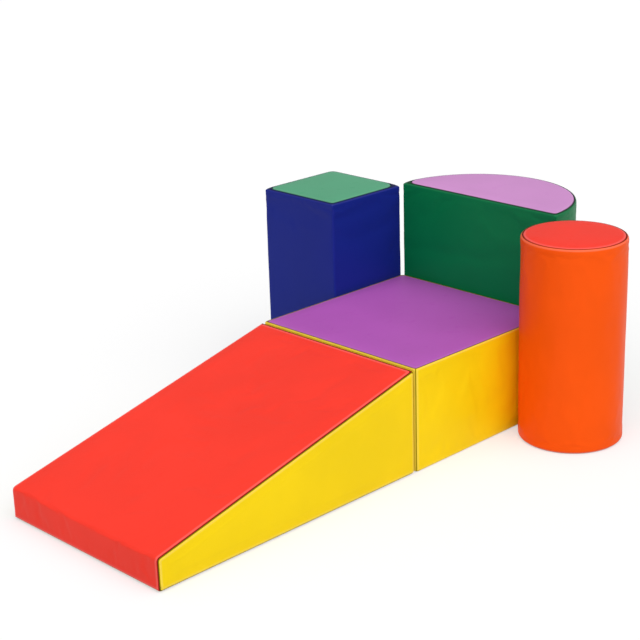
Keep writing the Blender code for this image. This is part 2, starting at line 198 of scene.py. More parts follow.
def block_form(block, softness=None):
    """An upright block's outline, its origin on the floor and its height."""
    softness = softness or corner_softness[block]
    low, high = span(block + "_side_band")
    size = high - low
    middle = (low + high) / 2
    height = span(block + "_top_panel")[1].z - top_crown
    if block == "half_round":
        return half_disc_path(size.y / 2, softness), Vector((low.x, middle.y, 0)), height
    if block == "cylinder":
        return disc_path(size.x / 2), Vector((middle.x, middle.y, 0)), height
    return square_path(size.x, size.y, softness), Vector((middle.x, middle.y, 0)), height


def zip_place(block):
    """Where the zip lies: its middle on the floor, its turn, and half the slot's length."""
    low, high = span(block + "_zip_tape_inner")
    other_low, other_high = span(block + "_zip_tape_outer")
    low = Vector(map(min, low, other_low))
    high = Vector(map(max, high, other_high))
    size = high - low
    middle = (low + high) / 2
    turn = 0 if size.x > size.y else quarter
    return Vector((middle.x, middle.y, 0)), turn, max(size.x, size.y) / 2 - tape_tail - cover_thickness


def bridge(bm, rows, loop=True):
    """Faces between rows of points."""
    for lower, upper in zip(rows, rows[1:]):
        count = len(lower)
        for k in range(count if loop else count - 1):
            after = (k + 1) % count
            bm.faces.new((lower[k], lower[after], upper[after], upper[k]))


def skin(name, rows, loop=True, start_tip=None, end_tip=None):
    """A surface through rows of (place, run, near), with the two values kept for the material.

    run is the distance along the seam, and near the distance from it.
    """
    bm = bmesh.new()
    run_layer = bm.verts.layers.float.new("seam_run")
    near_layer = bm.verts.layers.float.new("seam_near")

    def corner(place, run, near):
        vert = bm.verts.new(place)
        vert[run_layer] = run
        vert[near_layer] = near
        return vert

    grid = [[corner(*spot) for spot in row] for row in rows]
    bridge(bm, grid, loop)
    if start_tip:
        tip = corner(*start_tip)
        for k, vert in enumerate(grid[0]):
            bm.faces.new((grid[0][(k + 1) % len(grid[0])], vert, tip))
    if end_tip:
        tip = corner(*end_tip)
        for k, vert in enumerate(grid[-1]):
            bm.faces.new((vert, grid[-1][(k + 1) % len(grid[-1])], tip))
    mesh = bpy.data.meshes.new(name)
    bm.to_mesh(mesh)
    bm.free()
    mesh.shade_smooth()
    return mesh


def add_object(name, data, material=None):
    """Puts an object into the scene, in its material."""
    obj = bpy.data.objects.new(name, data)
    bpy.context.scene.collection.objects.link(obj)
    if material:
        data.materials.append(material)
    return obj


def add_piece(name, mesh, material, body, slot, *nodes):
    """A piece that rides on a body and stands for CAD nodes."""
    obj = add_object(name, mesh, material)
    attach(obj, body)
    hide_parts(*nodes)
    return obj


def feed(tree, node, inputs):
    """Gives a shader node its constants and its links."""
    for socket, value in inputs.items():
        if isinstance(value, bpy.types.NodeSocket):
            tree.links.new(value, node.inputs[socket])
        else:
            node.inputs[socket].default_value = value


def add_node(tree, kind, inputs=None, **settings):
    """A shader node with its settings, its constants and its links."""
    made = tree.nodes.new("ShaderNode" + kind)
    for key, value in settings.items():
        setattr(made, key, value)
    feed(tree, made, inputs or {})
    return made


def pattern(tree, kind, inputs, result="Fac", **settings):
    """A texture laid over the piece."""
    place = add_node(tree, "TexCoord").outputs["Object"]
    return add_node(tree, "Tex" + kind, {"Vector": place, **inputs}, **settings).outputs[result]


def calculated(tree, operation, *values):
    """The result of a sum."""
    return add_node(tree, "Math", dict(enumerate(values)), operation=operation).outputs[0]


def ramped(tree, value, low, high, start, end, kind="SMOOTHSTEP"):
    """A value taken from start to end, between its two limits."""
    limits = {"Value": value, "From Min": low, "From Max": high, "To Min": start, "To Max": end}
    return add_node(tree, "MapRange", limits, interpolation_type=kind).outputs["Result"]


def mixed(tree, share, start, end):
    """A colour between two others."""
    inputs = {"Factor": share, "A": start, "B": end}
    return add_node(tree, "Mix", inputs, data_type="RGBA").outputs["Result"]


def new_material(name):
    """A material and its tree."""
    material = bpy.data.materials.new(name)
    material.use_nodes = True
    return material, material.node_tree


def finish_surface(tree, height, depth, looks):
    """Gives a surface its bump and its other looks."""
    bump = add_node(tree, "Bump", {"Height": height, "Distance": depth})
    feed(tree, tree.nodes["Principled BSDF"], {"Normal": bump.outputs["Normal"], **looks})


def foam_material():
    """Open-cell foam: fine pores, a few larger ones, and the faint lines that the hot wire leaves."""
    material, tree = new_material("polyether_foam")
    pores = pattern(tree, "Voronoi", {"Scale": pore_scale}, "Distance")
    shade = calculated(tree, "MULTIPLY", pores, pattern(tree, "Noise", foam_cloud))
    wire = pattern(tree, "Wave", wire_marks, bands_direction="Z")
    lines = calculated(tree, "MULTIPLY_ADD", wire, wire_mark_share, pores)
    finish_surface(tree, lines, pore_depth, {
        "Base Color": mixed(tree, shade, FOAM_COLOUR, FOAM_SHADE),
        "Roughness": foam_roughness,
        "Specular IOR Level": foam_sheen,
    })
    return material


foam = foam_material()


def smooth_step(share):
    """Eases a share in and out, and holds it between 0 and 1."""
    share = min(max(share, 0), 1)
    return share * share * (3 - 2 * share)


def channel(place, seat, turn, half_length):
    """How far the zip presses the foam up at a place on the underside."""
    local = Matrix.Rotation(-turn, 3, "Z") @ (place - seat)
    over = max(abs(local.x) - half_length - channel_width, abs(local.y) - channel_width, 0)
    return channel_depth * smooth_step(1 - over / channel_shoulder)


def foam_core(block, path, origin, depth, lie):
    """The foam block: rings up its sides, drawn in at both ends to a middle point."""
    seat, turn, half_length = zip_place(block)
    stations = stations_of(path(core_clearance, core_edge), foam_step)
    low_edge = []
    for step in range(core_edge_steps + 1):
        angle = quarter * step / core_edge_steps
        inset = core_clearance + core_edge * (1 - math.sin(angle))
        low_edge.append((inset, core_clearance + core_edge * (1 - math.cos(angle))))
    high_edge = [(inset, depth - rise) for inset, rise in reversed(low_edge)]
    side_steps = round(depth / foam_step)
    start, end = low_edge[-1][1], high_edge[0][1]
    sides = [(core_clearance, start + (end - start) * k / side_steps) for k in range(1, side_steps)]
    profile = low_edge + sides + high_edge
    outlines = [ring(path(inset, core_edge), stations) for inset, _ in profile]
    levels = [level for _, level in profile]
    middle = sum(outlines[0], Vector((0, 0))) / len(stations)
    steps = round(middle.length / foam_step) + closing_rings
    closing = [1 - k / steps for k in range(1, steps)]
    inward = [[middle.lerp(point, share) for point in outlines[0]] for share in closing]
    outlines = inward[::-1] + outlines + inward
    levels = [levels[0]] * len(inward) + levels + [levels[-1]] * len(inward)

    def settled(point, level):
        """A point of the foam, pressed up where the zip is."""
        place = origin + lie @ Vector((point.x, point.y, level))
        if place.z < channel_depth + core_clearance:
            place.z += channel(Vector((place.x, place.y, 0)), seat, turn, half_length)
        return (place, 0, 1)

    rows = [[settled(point, level) for point in outline] for outline, level in zip(outlines, levels)]
    mesh = skin(
        block + "_foam", rows, True, settled(middle, levels[0]), settled(middle, levels[-1])
    )
    obj = add_piece(block + "_foam", mesh, foam, block, "foam", block + "_foam_core")


upright = Matrix.Identity(3)
on_its_side = Matrix.Rotation(quarter, 3, "X")
for block in upright_blocks:
    path, origin, height = block_form(block)
    foam_core(block, path, origin, height, upright)

platform_height = block_form("platform")[2]
ramp_width = span("platform_side_band")[1].y - span("platform_side_band")[0].y
ramp_back_x = span("ramp_back_panel")[1].x
ramp_length = ramp_back_x - span("ramp_slide_panel")[0].x
ramp_path = wedge_path(ramp_length, platform_height, nose_height, nose_fold_radius)
ramp_side_origin = Vector((ramp_back_x, ramp_width / 2, 0))
foam_core("ramp", ramp_path, ramp_side_origin, ramp_width, on_its_side)

# Base panels: knit-backed vinyl with a pebbled face, as all the covers. Along its seams the colour is
# painted darker for the shade in the seam creases, with some dirt, and beside them the vinyl is polished
# and painted paler for the sheen on its rolled edge. They are sewn in last, and the zip sits in a slot
# whose edges are turned up, so that no metal touches the floor or a child.

cover_step = 0.0040
ring_step = 0.6 * cover_step
vinyl_thickness = 0.0009
seam_insets = {"platform": 0.0030, "pillar": 0.0045, "half_round": 0.0046, "cylinder": 0.0046}
seam_gap = 0.0004
seam_depth = 0.009
seam_corner = 0.014
crease_depth = 0.0018
seam_dip = ((0.0003, 0.0014), (0.0009, 0.0008), (0.0020, 0.0003), (0.0036, 0.0))
mitre_depth = 0.0065
mitre_roll = 0.0032
mitre_dive = math.radians(28)
roll_steps = 7
panel_reach = 0.031
# How far from a seam the painted shade of its crease reaches, with some dirt; wider on the dark vinyls.
seam_shadow_width = 0.0018
seam_shadow_widths = {"blue_vinyl": 0.0050, "deep_green_vinyl": 0.0050}
slot_half_width = 0.0055
slot_rings = 14
slot_rim = 0.0004
slot_wall_levels = (0.0012, 0.0030, 0.0050)
slot_near = 0.0015
slot_wall_near = 0.004
ramp_corner = 0.003
pebble_scale = 780.0
crease_cloud = {"Scale": 240.0, "Detail": 4.0}
crease_height = 0.6
mottling_cloud = {"Scale": 9.0, "Detail": 3.0}
mottling_limits = (0.3, 0.7)
mottling_tones = (0.975, 1.02)
handling_cloud = {"Scale": 3.5, "Detail": 2.0}
handling_limits = (0.35, 0.65)
handling_tones = (-0.015, 0.015)
scuff_cloud = {"Scale": 46.0, "Detail": 6.0}
scuff_limits = (0.60, 0.72)
# Where the painted seam shade begins, and how dark it is right at the seam.
seam_start = 0.0001
seam_shade = 0.24
# The rolled edge beside a seam: really polished, and painted paler for the sheen it catches.
rim_rise = (0.0008, 0.002)
rim_fall = (0.003, 0.007)
rim_sheen_saturation = 0.93
thread_pitch = 0.0045
thread_reach = 0.0035
thread_height = 1.6
vinyl_roughness = 0.37
mottled_roughness = 0.12
scuffed_roughness = 0.10
rim_polish = 0.05
grain_depth = 0.00010
vinyl_sheen = 0.10
VINYL_COLOURS = {
    "yellow_vinyl": (0.97, 0.69, 0.004, 1),
    "red_vinyl": (0.94, 0.045, 0.026, 1),
    "purple_vinyl": (0.445, 0.103, 0.465, 1),
    "blue_vinyl": (0.0095, 0.0205, 0.25, 1),
    # Painted sheen: leaf_green_vinyl and lilac_vinyl are the deep green and the purple vinyl painted
    # lighter, for the sheen that the high top panels catch.
    "leaf_green_vinyl": (0.096, 0.366, 0.206, 1),
    "deep_green_vinyl": (0.002, 0.186, 0.060, 1),
    "lilac_vinyl": (0.62, 0.28, 0.60, 1),
    "orange_vinyl": (0.96, 0.095, 0.002, 1),
}


def sewn_vinyl_group():
    """What all the vinyls share: pebble grain, mottling, a polished rim painted paler for its sheen, seams
    painted dark for their shade and some dirt, stitches.
    """
    group = bpy.data.node_groups.new("sewn_vinyl", "ShaderNodeTree")
    for name, kind in (("Colour", "Color"), ("Run", "Float"), ("Near", "Float"), ("Seam", "Float")):
        group.interface.new_socket(name, in_out="INPUT", socket_type="NodeSocket" + kind)
    for name, kind in (("Colour", "Color"), ("Roughness", "Float"), ("Height", "Float")):
        group.interface.new_socket(name, in_out="OUTPUT", socket_type="NodeSocket" + kind)
    given = group.nodes.new("NodeGroupInput").outputs
    result = group.nodes.new("NodeGroupOutput").inputs
    calculate = partial(calculated, group)
    limited = partial(ramped, group)

    pebbles = pattern(group, "Voronoi", {"Scale": pebble_scale}, "Distance", feature="SMOOTH_F1")
    creases, mottling, handling, scuffs = [
        pattern(group, "Noise", kind)
        for kind in (crease_cloud, mottling_cloud, handling_cloud, scuff_cloud)
    ]
    scuffs = limited(scuffs, *scuff_limits, 0.0, 1.0)
    seam = limited(given["Near"], seam_start, given["Seam"], 1.0, 0.0)
    past_seam = limited(given["Near"], *rim_rise, 0.0, 1.0)
    rim_polish_and_sheen = calculate("MULTIPLY", past_seam, limited(given["Near"], *rim_fall, 1.0, 0.0))
    turn = calculate("MULTIPLY", given["Run"], 2 * math.pi / thread_pitch)
    pulled = limited(given["Near"], 0.0, thread_reach, 1.0, 0.0)
    stitch = calculate("MULTIPLY", calculate("SINE", turn), pulled)

    mottled = limited(mottling, *mottling_limits, *mottling_tones)
    tone = calculate("ADD", mottled, limited(handling, *handling_limits, *handling_tones))
    # Painted shade: the colour darkens towards each seam for the shade in its crease, partly dirt.
    tone = calculate("MULTIPLY", tone, limited(seam, 0.0, 1.0, 1.0, seam_shade))
    # Painted sheen: the rolled edge is paled for the highlight it catches; its lower roughness is real
    # polish.
    rim_sheen = limited(rim_polish_and_sheen, 0.0, 1.0, 1.0, rim_sheen_saturation)
    shades = {"Color": given["Colour"], "Value": tone, "Saturation": rim_sheen}
    toned = add_node(group, "HueSaturation", shades).outputs["Color"]
    rough = calculate("MULTIPLY_ADD", mottling, mottled_roughness, vinyl_roughness)
    rough = calculate("MULTIPLY_ADD", scuffs, scuffed_roughness, rough)
    rough = calculate("MULTIPLY_ADD", rim_polish_and_sheen, -rim_polish, rough)
    grain = calculate("MULTIPLY_ADD", creases, crease_height, pebbles)
    height = calculate("MULTIPLY_ADD", stitch, thread_height, grain)
    group.links.new(toned, result["Colour"])
    group.links.new(rough, result["Roughness"])
    group.links.new(height, result["Height"])
    return group


sewn_vinyl = sewn_vinyl_group()


def vinyl_material(slot):
    """Knitted-back vinyl of one colour, embossed with a fine pebble grain."""
    material, tree = new_material(slot)
    run = add_node(tree, "Attribute", attribute_name="seam_run").outputs["Fac"]
    near = add_node(tree, "Attribute", attribute_name="seam_near").outputs["Fac"]
    seam_shadow_reach = seam_shadow_widths.get(slot, seam_shadow_width)
    given = {"Colour": VINYL_COLOURS[slot], "Run": run, "Near": near, "Seam": seam_shadow_reach}
    look = add_node(tree, "Group", given, node_tree=sewn_vinyl).outputs
    finish_surface(tree, look["Height"], grain_depth, {
        "Base Color": look["Colour"],
        "Roughness": look["Roughness"],
        "Specular IOR Level": vinyl_sheen,
    })
    return material


vinyls = {slot: vinyl_material(slot) for slot in VINYL_COLOURS}
slots = {entry["node"]: entry["material_slot"] for entry in frame["record"]["subparts"]}


def cover_panel(block, cover, panel, rows, **shape):
    """A panel of a block's cover in its node's vinyl, given its thickness inwards."""
    name, node = f"{block}_{cover}", f"{block}_{panel}"
    mesh = skin(name, rows, **shape)
    obj = add_piece(name, mesh, vinyls[slots[node]], block, slots[node], node)
    solid = obj.modifiers.new("vinyl", "SOLIDIFY")
    solid.thickness = vinyl_thickness
    solid.offset = -1
    solid.use_even_offset = True


def runs_along(points):
    """Distance along a closed outline at each of its points, and all round."""
    runs = [0]
    for before, after in zip(points, points[1:]):
        runs.append(runs[-1] + (after - before).length)
    return runs, runs[-1] + (points[0] - points[-1]).length


def seamed_edge(block):
    """A flat panel's edge, from the tip of its allowance to the face: inset and depth."""
    line = seam_insets[block] + seam_gap / 2
    dip = [(line + inset, depth) for inset, depth in seam_dip]
    return [(line, seam_depth), (line, crease_depth), *dip]


def mitred_edge(half_turn):
    """A panel's edge where the seam lies on the block's edge: inset, depth, from tip to face.

    half_turn is half the angle by which the cover turns there.
    """
    dive = half_turn + mitre_dive
    slant = math.tan(half_turn)
    reach = mitre_roll * (math.sin(dive) + (1 - math.cos(dive)) * slant) + seam_gap / 2
    edge = [(mitre_depth * slant + seam_gap / 2, mitre_depth)]
    for step in range(roll_steps + 1):
        angle = dive * (1 - step / roll_steps)
        edge.append((reach - mitre_roll * math.sin(angle), mitre_roll * (1 - math.cos(angle))))
    return edge


def flat_rings(path, stations, corner, edge, reach):
    """Rings of a flat panel: its edge, then on to reach from the block's edge: points, near, depth."""
    line = edge[1][0]
    rings = [(ring(path(inset, corner), stations), max(inset - line, 0), depth) for inset, depth in edge]
    start = edge[-1][0]
    steps = round((reach - start) / ring_step)
    for step in range(1, steps + 1):
        inset = start + (reach - start) * step / steps
        rings.append((ring(path(inset, corner), stations), inset - line, 0))
    return rings


def slot_edge(points, seat, turn, half_length, half_width):
    """The slot's edge in the direction of each point, with a point on each of its corners."""
    least = 1e-9
    edge = []
    for point in points:
        local = Matrix.Rotation(-turn, 2) @ (point - seat)
        scale = min(half_length / max(abs(local.x), least), half_width / max(abs(local.y), least))
        edge.append(seat + Matrix.Rotation(turn, 2) @ (local * scale))
    for x, y in ((1, 1), (-1, 1), (-1, -1), (1, -1)):
        corner = seat + Matrix.Rotation(turn, 2) @ Vector((x * half_length, y * half_width))
        nearest = min(range(len(edge)), key=lambda k: (edge[k] - corner).length)
        edge[nearest] = corner
    return edge


def base_cover(block, path, origin, corner, edge):
    """The panel on the floor, from its seam to the slot's turned-up walls."""
    seat, turn, half_length = zip_place(block)
    seat = (seat - origin).xy
    stations = stations_of(path(0, corner), cover_step)
    rings = flat_rings(path, stations, corner, edge, panel_reach)
    runs, _ = runs_along(rings[0][0])
    rows = [
        [(origin + Vector((p.x, p.y, depth)), run, near) for p, run in zip(points, runs)]
        for points, near, depth in rings
    ]
    last = rings[-1][0]
    opening = slot_edge(last, seat, turn, half_length, slot_half_width)
    for step in range(1, slot_rings + 1):
        share = step / slot_rings
        level = 0 if step < slot_rings else slot_rim
        rows.append([
            (origin + Vector((*a.lerp(b, share), level)), run, slot_near + (a - b).length * (1 - share))
            for a, b, run in zip(last, opening, runs)
        ])
    narrowed = slot_edge(last, seat, turn, half_length - slot_rim, slot_half_width - slot_rim)
    for level in slot_wall_levels:
        lift = origin + Vector((0, 0, level))
        rows.append([(lift + p.to_3d(), run, slot_wall_near) for p, run in zip(narrowed, runs)])
    cover_panel(block, "base_cover", "base_panel", [row[::-1] for row in rows])


for block in upright_blocks:
    path, origin, height = block_form(block)
    base_cover(block, path, origin, seam_corner, seamed_edge(block))
ramp_middle = Vector((ramp_back_x - ramp_length / 2, 0, 0))
square_edge = mitred_edge(quarter / 2)
base_cover("ramp", square_path(ramp_length, ramp_width), ramp_middle, ramp_corner, square_edge)

# Zips: a nylon coil zip in each base, closed. The coil is a spiral of monofilament sewn to the
# inner edge of each woven tape, and the steel slider has no pull, so that only a hook opens it.

tape_level = 0.0053
tape_thickness = 0.0007
tape_reach = 0.0127
coil_inner = 0.0008
coil_width = 0.0022
coil_height = 0.0016
coil_pitch = 0.0015
coil_overrun = 0.004
coil_seating = 0.0004
coil_steps = 8
filament = 0.00027
filament_sides = 5
cloth_share = 0.6
tape_squares = (60, 6)
tape_ripple = 0.00008
tape_ripple_length = 0.006
tape_ripple_width = 0.004
fluff_scale = 900.0
weave_depth = 0.00012
roughness_spread = 0.2
steel_marks = {"Scale": 700.0, "Detail": 5.0}
steel_mark_depth = 0.00003
steel_roughness = (0.22, 0.46)
TAPE_COLOUR = (0.016, 0.016, 0.018, 1)
TAPE_SHADE = (0.030, 0.030, 0.033, 1)
STEEL_COLOUR = (0.56, 0.57, 0.59, 1)
STEEL_SHADE = (0.40, 0.41, 0.43, 1)


def woven_material(name, light, dark, scale, roughness):
    """A woven tape: two crossed sets of threads with a little fluff on them."""
    material, tree = new_material(name)
    crossed, *others = [
        pattern(tree, "Wave", {"Scale": scale}, bands_direction=axis) for axis in ("X", "Y", "Z")
    ]
    for wave in others:
        crossed = calculated(tree, "MAXIMUM", crossed, wave)
    fluff = pattern(tree, "Noise", {"Scale": fluff_scale})
    rough = ramped(tree, fluff, 0.0, 1.0, roughness, roughness + roughness_spread, "LINEAR")
    colour = mixed(tree, crossed, dark, light)
    height = calculated(tree, "ADD", crossed, fluff)
    finish_surface(tree, height, weave_depth, {"Base Color": colour, "Roughness": rough})
    return material


zip_tape = woven_material("zip_tape", TAPE_COLOUR, TAPE_SHADE, scale=380.0, roughness=0.65)
coil_nylon = woven_material("coil_nylon", TAPE_SHADE, TAPE_COLOUR, scale=120.0, roughness=0.30)


def steel_material():
    """Die-cast slider, plated, with faint tumbling marks in its colour, roughness and bump."""
    material, tree = new_material("plated_slider")
    marks = pattern(tree, "Noise", steel_marks)
    finish_surface(tree, marks, steel_mark_depth, {
        "Base Color": mixed(tree, marks, STEEL_COLOUR, STEEL_SHADE),
        "Roughness": ramped(tree, marks, 0.0, 1.0, *steel_roughness, "LINEAR"),
        "Metallic": 1.0,
    })
    return material


slider_steel = steel_material()


def add_tube(bm, points, radius, sides, across):
    """Adds a thin closed tube round a line of points; across is a direction never along the line."""
    turns = [2 * math.pi * k / sides for k in range(sides)]
    grid = []
    for k, point in enumerate(points):
        ahead = points[min(k + 1, len(points) - 1)] - points[max(k - 1, 0)]
        side = ahead.cross(across).normalized()
        up = side.cross(ahead).normalized()
        places = [point + radius * (math.cos(turn) * side + math.sin(turn) * up) for turn in turns]
        grid.append([bm.verts.new(place) for place in places])
    bridge(bm, grid[::-1])
    bm.faces.new(grid[0])
    bm.faces.new(grid[-1][::-1])


def finished_mesh(name, bm):
    """The mesh of a finished shape, its faces turned outwards."""
    bmesh.ops.recalc_face_normals(bm, faces=bm.faces)
    mesh = bpy.data.meshes.new(name)
    bm.to_mesh(mesh)
    bm.free()
    mesh.shade_smooth()
    return mesh


def zip_half(block, side, label):
    """One woven tape with its spiral of nylon."""
    seat, turn, half_length = zip_place(block)
    lie = Matrix.Translation(seat) @ Matrix.Rotation(turn, 4, "Z")
    reach = half_length + cover_thickness + tape_tail
    bm = bmesh.new()
    bmesh.ops.create_grid(bm, x_segments=tape_squares[0], y_segments=tape_squares[1], size=1)
    for vert in bm.verts:
        across = coil_inner + (vert.co.y + 1) / 2 * (tape_reach - coil_inner)
        along = vert.co.x * reach
        spot = Vector((along / tape_ripple_length, across / tape_ripple_width, side))
        ripple = tape_ripple * noise.noise(spot)
        vert.co = Vector((along, side * across, tape_level + ripple))
    made = bmesh.ops.extrude_face_region(bm, geom=list(bm.faces))
    lifted = [item for item in made["geom"] if isinstance(item, bmesh.types.BMVert)]
    bmesh.ops.translate(bm, verts=lifted, vec=(0, 0, tape_thickness * cloth_share))
    bmesh.ops.transform(bm, matrix=lie, verts=bm.verts)
    # The extrusion adds its side faces in no fixed order, so all are put in order of place.
    in_order = sorted(bm.faces, key=lambda face: tuple(face.calc_center_median()))
    for number, face in enumerate(in_order):
        face.index = number
    bm.faces.sort()
    name, node = f"{block}_tape_{label}", f"{block}_zip_tape_{label}"
    tape = add_piece(name, finished_mesh(name, bm), zip_tape, block, "zip_tape", node)

    bm = bmesh.new()
    turns = round(2 * (half_length + coil_overrun) / coil_pitch)
    middle_y = coil_inner + coil_width / 2
    middle_z = tape_level + tape_thickness + coil_height / 2 - coil_seating
    meshing = coil_pitch / 2 if side > 0 else 0
    points = []
    for step in range(turns * coil_steps + 1):
        angle = 2 * math.pi * step / coil_steps
        x = coil_pitch * (step / coil_steps - turns / 2) + meshing
        y = middle_y + (coil_width / 2 - filament) * math.cos(angle)
        z = middle_z + coil_height / 2 * math.sin(angle)
        points.append(Vector((x, side * y, z)))
    add_tube(bm, points, filament, filament_sides, Vector((1, 0, 0)))
    bmesh.ops.transform(bm, matrix=lie, verts=bm.verts)
    name = f"{block}_coil_{label}"
    coil = add_object(name, finished_mesh(name, bm), coil_nylon)
    coil.parent = tape


for block in (*upright_blocks, "ramp"):
    zip_half(block, 1, "inner")
    zip_half(block, -1, "outer")
    slider = frame["nodes"][block + "_zip_slider"]
    slider.data.materials.clear()
    slider.data.materials.append(slider_steel)

# Wall bands: one strip of vinyl round each upright block, folded softly at the corners, closed by
# an upright seam at the back, and rolled over at the top and the bottom into the panels' seams.
# Where the ramp stands against the platform, the fold at the open corner is painted dark for the
# shade in that narrow gap.

broad_step = 2 * cover_step
wall_corner = 0.0032
fold_softness = {
    "platform": (1, 1, 2.4, 1),
    "pillar": (1, 1, 1, 1),
    "half_round": (1, 1),
    "cylinder": (),
}
# The platform's fold beside the ramp, painted dark like a seam for the shade in the gap.
shaded_fold = {"platform": (2, False, 0.5)}
ear_sharpness = 1.5
lip_angle = math.radians(65)
crease_width = 0.0006
edge_levels = (0.0015, 0.003, 0.005, 0.0075, 0.0105, 0.014, 0.018, 0.024)
wall_wave_depth = 0.0007
hollow_fade = 0.03
broad_hollow = 0.12
small_hollow = 0.05
hollow_middle = 0.45
broad_hollow_share = 0.55
small_hollow_share = 0.22
pucker_middle = 0.5
pucker_depth = 0.00032
pucker_length = 0.013
pucker_reach = 0.011
pucker_change = 0.045
patch_length = 0.07
patch_middle = 0.65
patch_spread = 0.6
patch_least = 0.15
upright_seam_depth = 0.0011
upright_seam_width = 0.0008
closing_offsets = (0.0004, 0.0009, 0.0016, 0.0027)
closing_margin = 0.0034
closing_pucker_share = 0.6
head_seed = 5
closing_seed = 9
wall_seeds = {"platform": 1, "pillar": 4, "half_round": 7, "cylinder": 10}
closing_seams = {
    "platform": (0, True, 0.02),
    "pillar": (0, True, 0.04),
    "half_round": (1, False, 0.975),
    "cylinder": (0, False, 0.5),
}


def sink(place, seed):
    """0 to 1: how far the foam lets a wide face sink, in broad soft hollows."""
    broad = broad_hollow_share * noise.noise(place / broad_hollow + Vector((seed, 0, 0)))
    small = small_hollow_share * noise.noise(place / small_hollow + Vector((0, seed, 0)))
    return min(max(hollow_middle + broad + small, 0), 1)


def pucker(run, around, near, seed):
    """Ripples that cross a seam: drawn together by the thread, they die out into the panel."""
    angle = 2 * math.pi * run / around
    radius = around / (2 * math.pi)
    on_circle = Vector((math.cos(angle), math.sin(angle), 0)) * radius
    ripple = noise.noise(on_circle / pucker_length + Vector((0, 0, near / pucker_change + seed)))
    patch = patch_middle + patch_spread * noise.noise(on_circle / patch_length + Vector((0, 0, seed)))
    return ripple * max(patch, patch_least) * math.exp(-near / pucker_reach)


def closed_by_seam(arcs, stations, spot):
    """The outline's stations with close-set ones at the closing seam, starting on it."""
    k, on_run, share = spot
    here = [station for station in stations if station[:2] == (k, on_run)]
    points = ring(arcs, here)
    length = sum((b - a).length for a, b in zip(points, points[1:]))
    length *= len(here) / max(len(here) - 1, 1)
    close = [share + sign * offset / length for sign in (-1, 1) for offset in closing_offsets]
    close.append(share)
    margin = closing_margin / length
    kept = [
        station
        for station in stations
        if station[:2] != (k, on_run) or abs(station[2] - share) > margin
    ]
    listed = sorted(kept + [(k, on_run, value) for value in close if 0 <= value < 1])
    start = listed.index((k, on_run, share))
    return listed[start:] + listed[:start]


def band_levels(height, edge_roll):
    """Levels up the wall between the two rolled edges, closer near the seams."""
    low = [edge_roll + rise for rise in edge_levels]
    high = [height - level for level in reversed(low)]
    steps = round((high[0] - low[-1]) / broad_step)
    return low + [low[-1] + (high[0] - low[-1]) * k / steps for k in range(1, steps)] + high


def wall_cover(block, seed):
    """The band with its rolled edges, soft hollows, puckers and closing seam."""
    path, origin, height = block_form(block)
    sharp_path = block_form(block, fold_softness[block])[0]
    arcs = path(0, seam_corner)
    stations = closed_by_seam(arcs, stations_of(arcs, cover_step), closing_seams[block])
    outer = ring(sharp_path(0, wall_corner), stations)
    runs, around = runs_along(outer)
    shaded_run = runs[stations.index(shaded_fold[block])] if block in shaded_fold else -around
    outward = []
    for k, point in enumerate(outer):
        ahead = outer[(k + 1) % len(outer)] - outer[k - 1]
        outward.append(Vector((ahead.y, -ahead.x)).normalized())
    line = seam_insets[block] - seam_gap / 2
    edge_roll = (line - crease_width) / (1 - math.cos(lip_angle))
    edge = [(line, seam_depth, 0), (line, crease_depth, 0)]
    for step in range(roll_steps + 1):
        left = 1 - step / roll_steps
        angle = lip_angle * left
        edge.append((edge_roll * (1 - math.cos(angle)), edge_roll * (1 - math.sin(angle)), 1 - left))
    steps = edge + [(0, level, 1) for level in band_levels(height, edge_roll)]
    steps += [(inset, height - depth, free) for inset, depth, free in reversed(edge)]
    rows = []
    for inset, level, free in steps:
        to_edge = min(level, height - level)
        softer = min(inset / (line - crease_width), 1) ** ear_sharpness
        points = [
            boxy.lerp(soft, softer)
            for boxy, soft in zip(
                ring(sharp_path(inset, wall_corner), stations), ring(path(inset, seam_corner), stations)
            )
        ]
        if inset < line:
            near = edge_roll * (lip_angle - math.acos(1 - inset / edge_roll)) + max(to_edge - edge_roll, 0)
        else:
            near = 0
        row = []
        for point, run, normal in zip(points, runs, outward):
            from_closing = min(run, around - run)
            place = origin + Vector((point.x, point.y, level))
            depth = wall_wave_depth * sink(place, seed) * min(to_edge / hollow_fade, 1)
            edge_seed = seed if level < height / 2 else seed + head_seed
            depth += pucker_depth * (pucker_middle + pucker(run, around, to_edge, edge_seed))
            depth += upright_seam_depth * math.exp(-((from_closing / upright_seam_width) ** 2))
            spot = Vector((level / pucker_length, from_closing / pucker_change, seed + closing_seed))
            ripple = noise.noise(spot) * math.exp(-from_closing / pucker_reach)
            depth += closing_pucker_share * pucker_depth * ripple
            shift = free * depth * normal
            # Painted shade: the seams, the closing seam and the fold beside the ramp get a small seam
            # distance, so the material darkens them.
            shown = min(near, from_closing, abs(run - shaded_run))
            row.append((place - Vector((shift.x, shift.y, 0)), run, shown))
        rows.append(row)
    cover_panel(block, "wall_cover", "side_band", rows)


for block, seed in wall_seeds.items():
    wall_cover(block, seed)

# Top panels: cut a little large and pushed up by the foam, so that they crown inside their seam.
# Their corners are rounder than the block's, which leaves the wall's colour showing at each corner.

dome = 0.0010
top_crown_share = 1.0
top_wave_depth = 0.0009
crown_reach = 0.017
crown_roundness = 1.5
pucker_start = 0.002
top_seeds = {"platform": 20, "pillar": 22, "half_round": 24, "cylinder": 26}


def crown(near):
    """How high the foam pushes a panel at a distance from its seam."""
    return top_crown * (1 - math.exp(-((near / crown_reach) ** crown_roundness)))


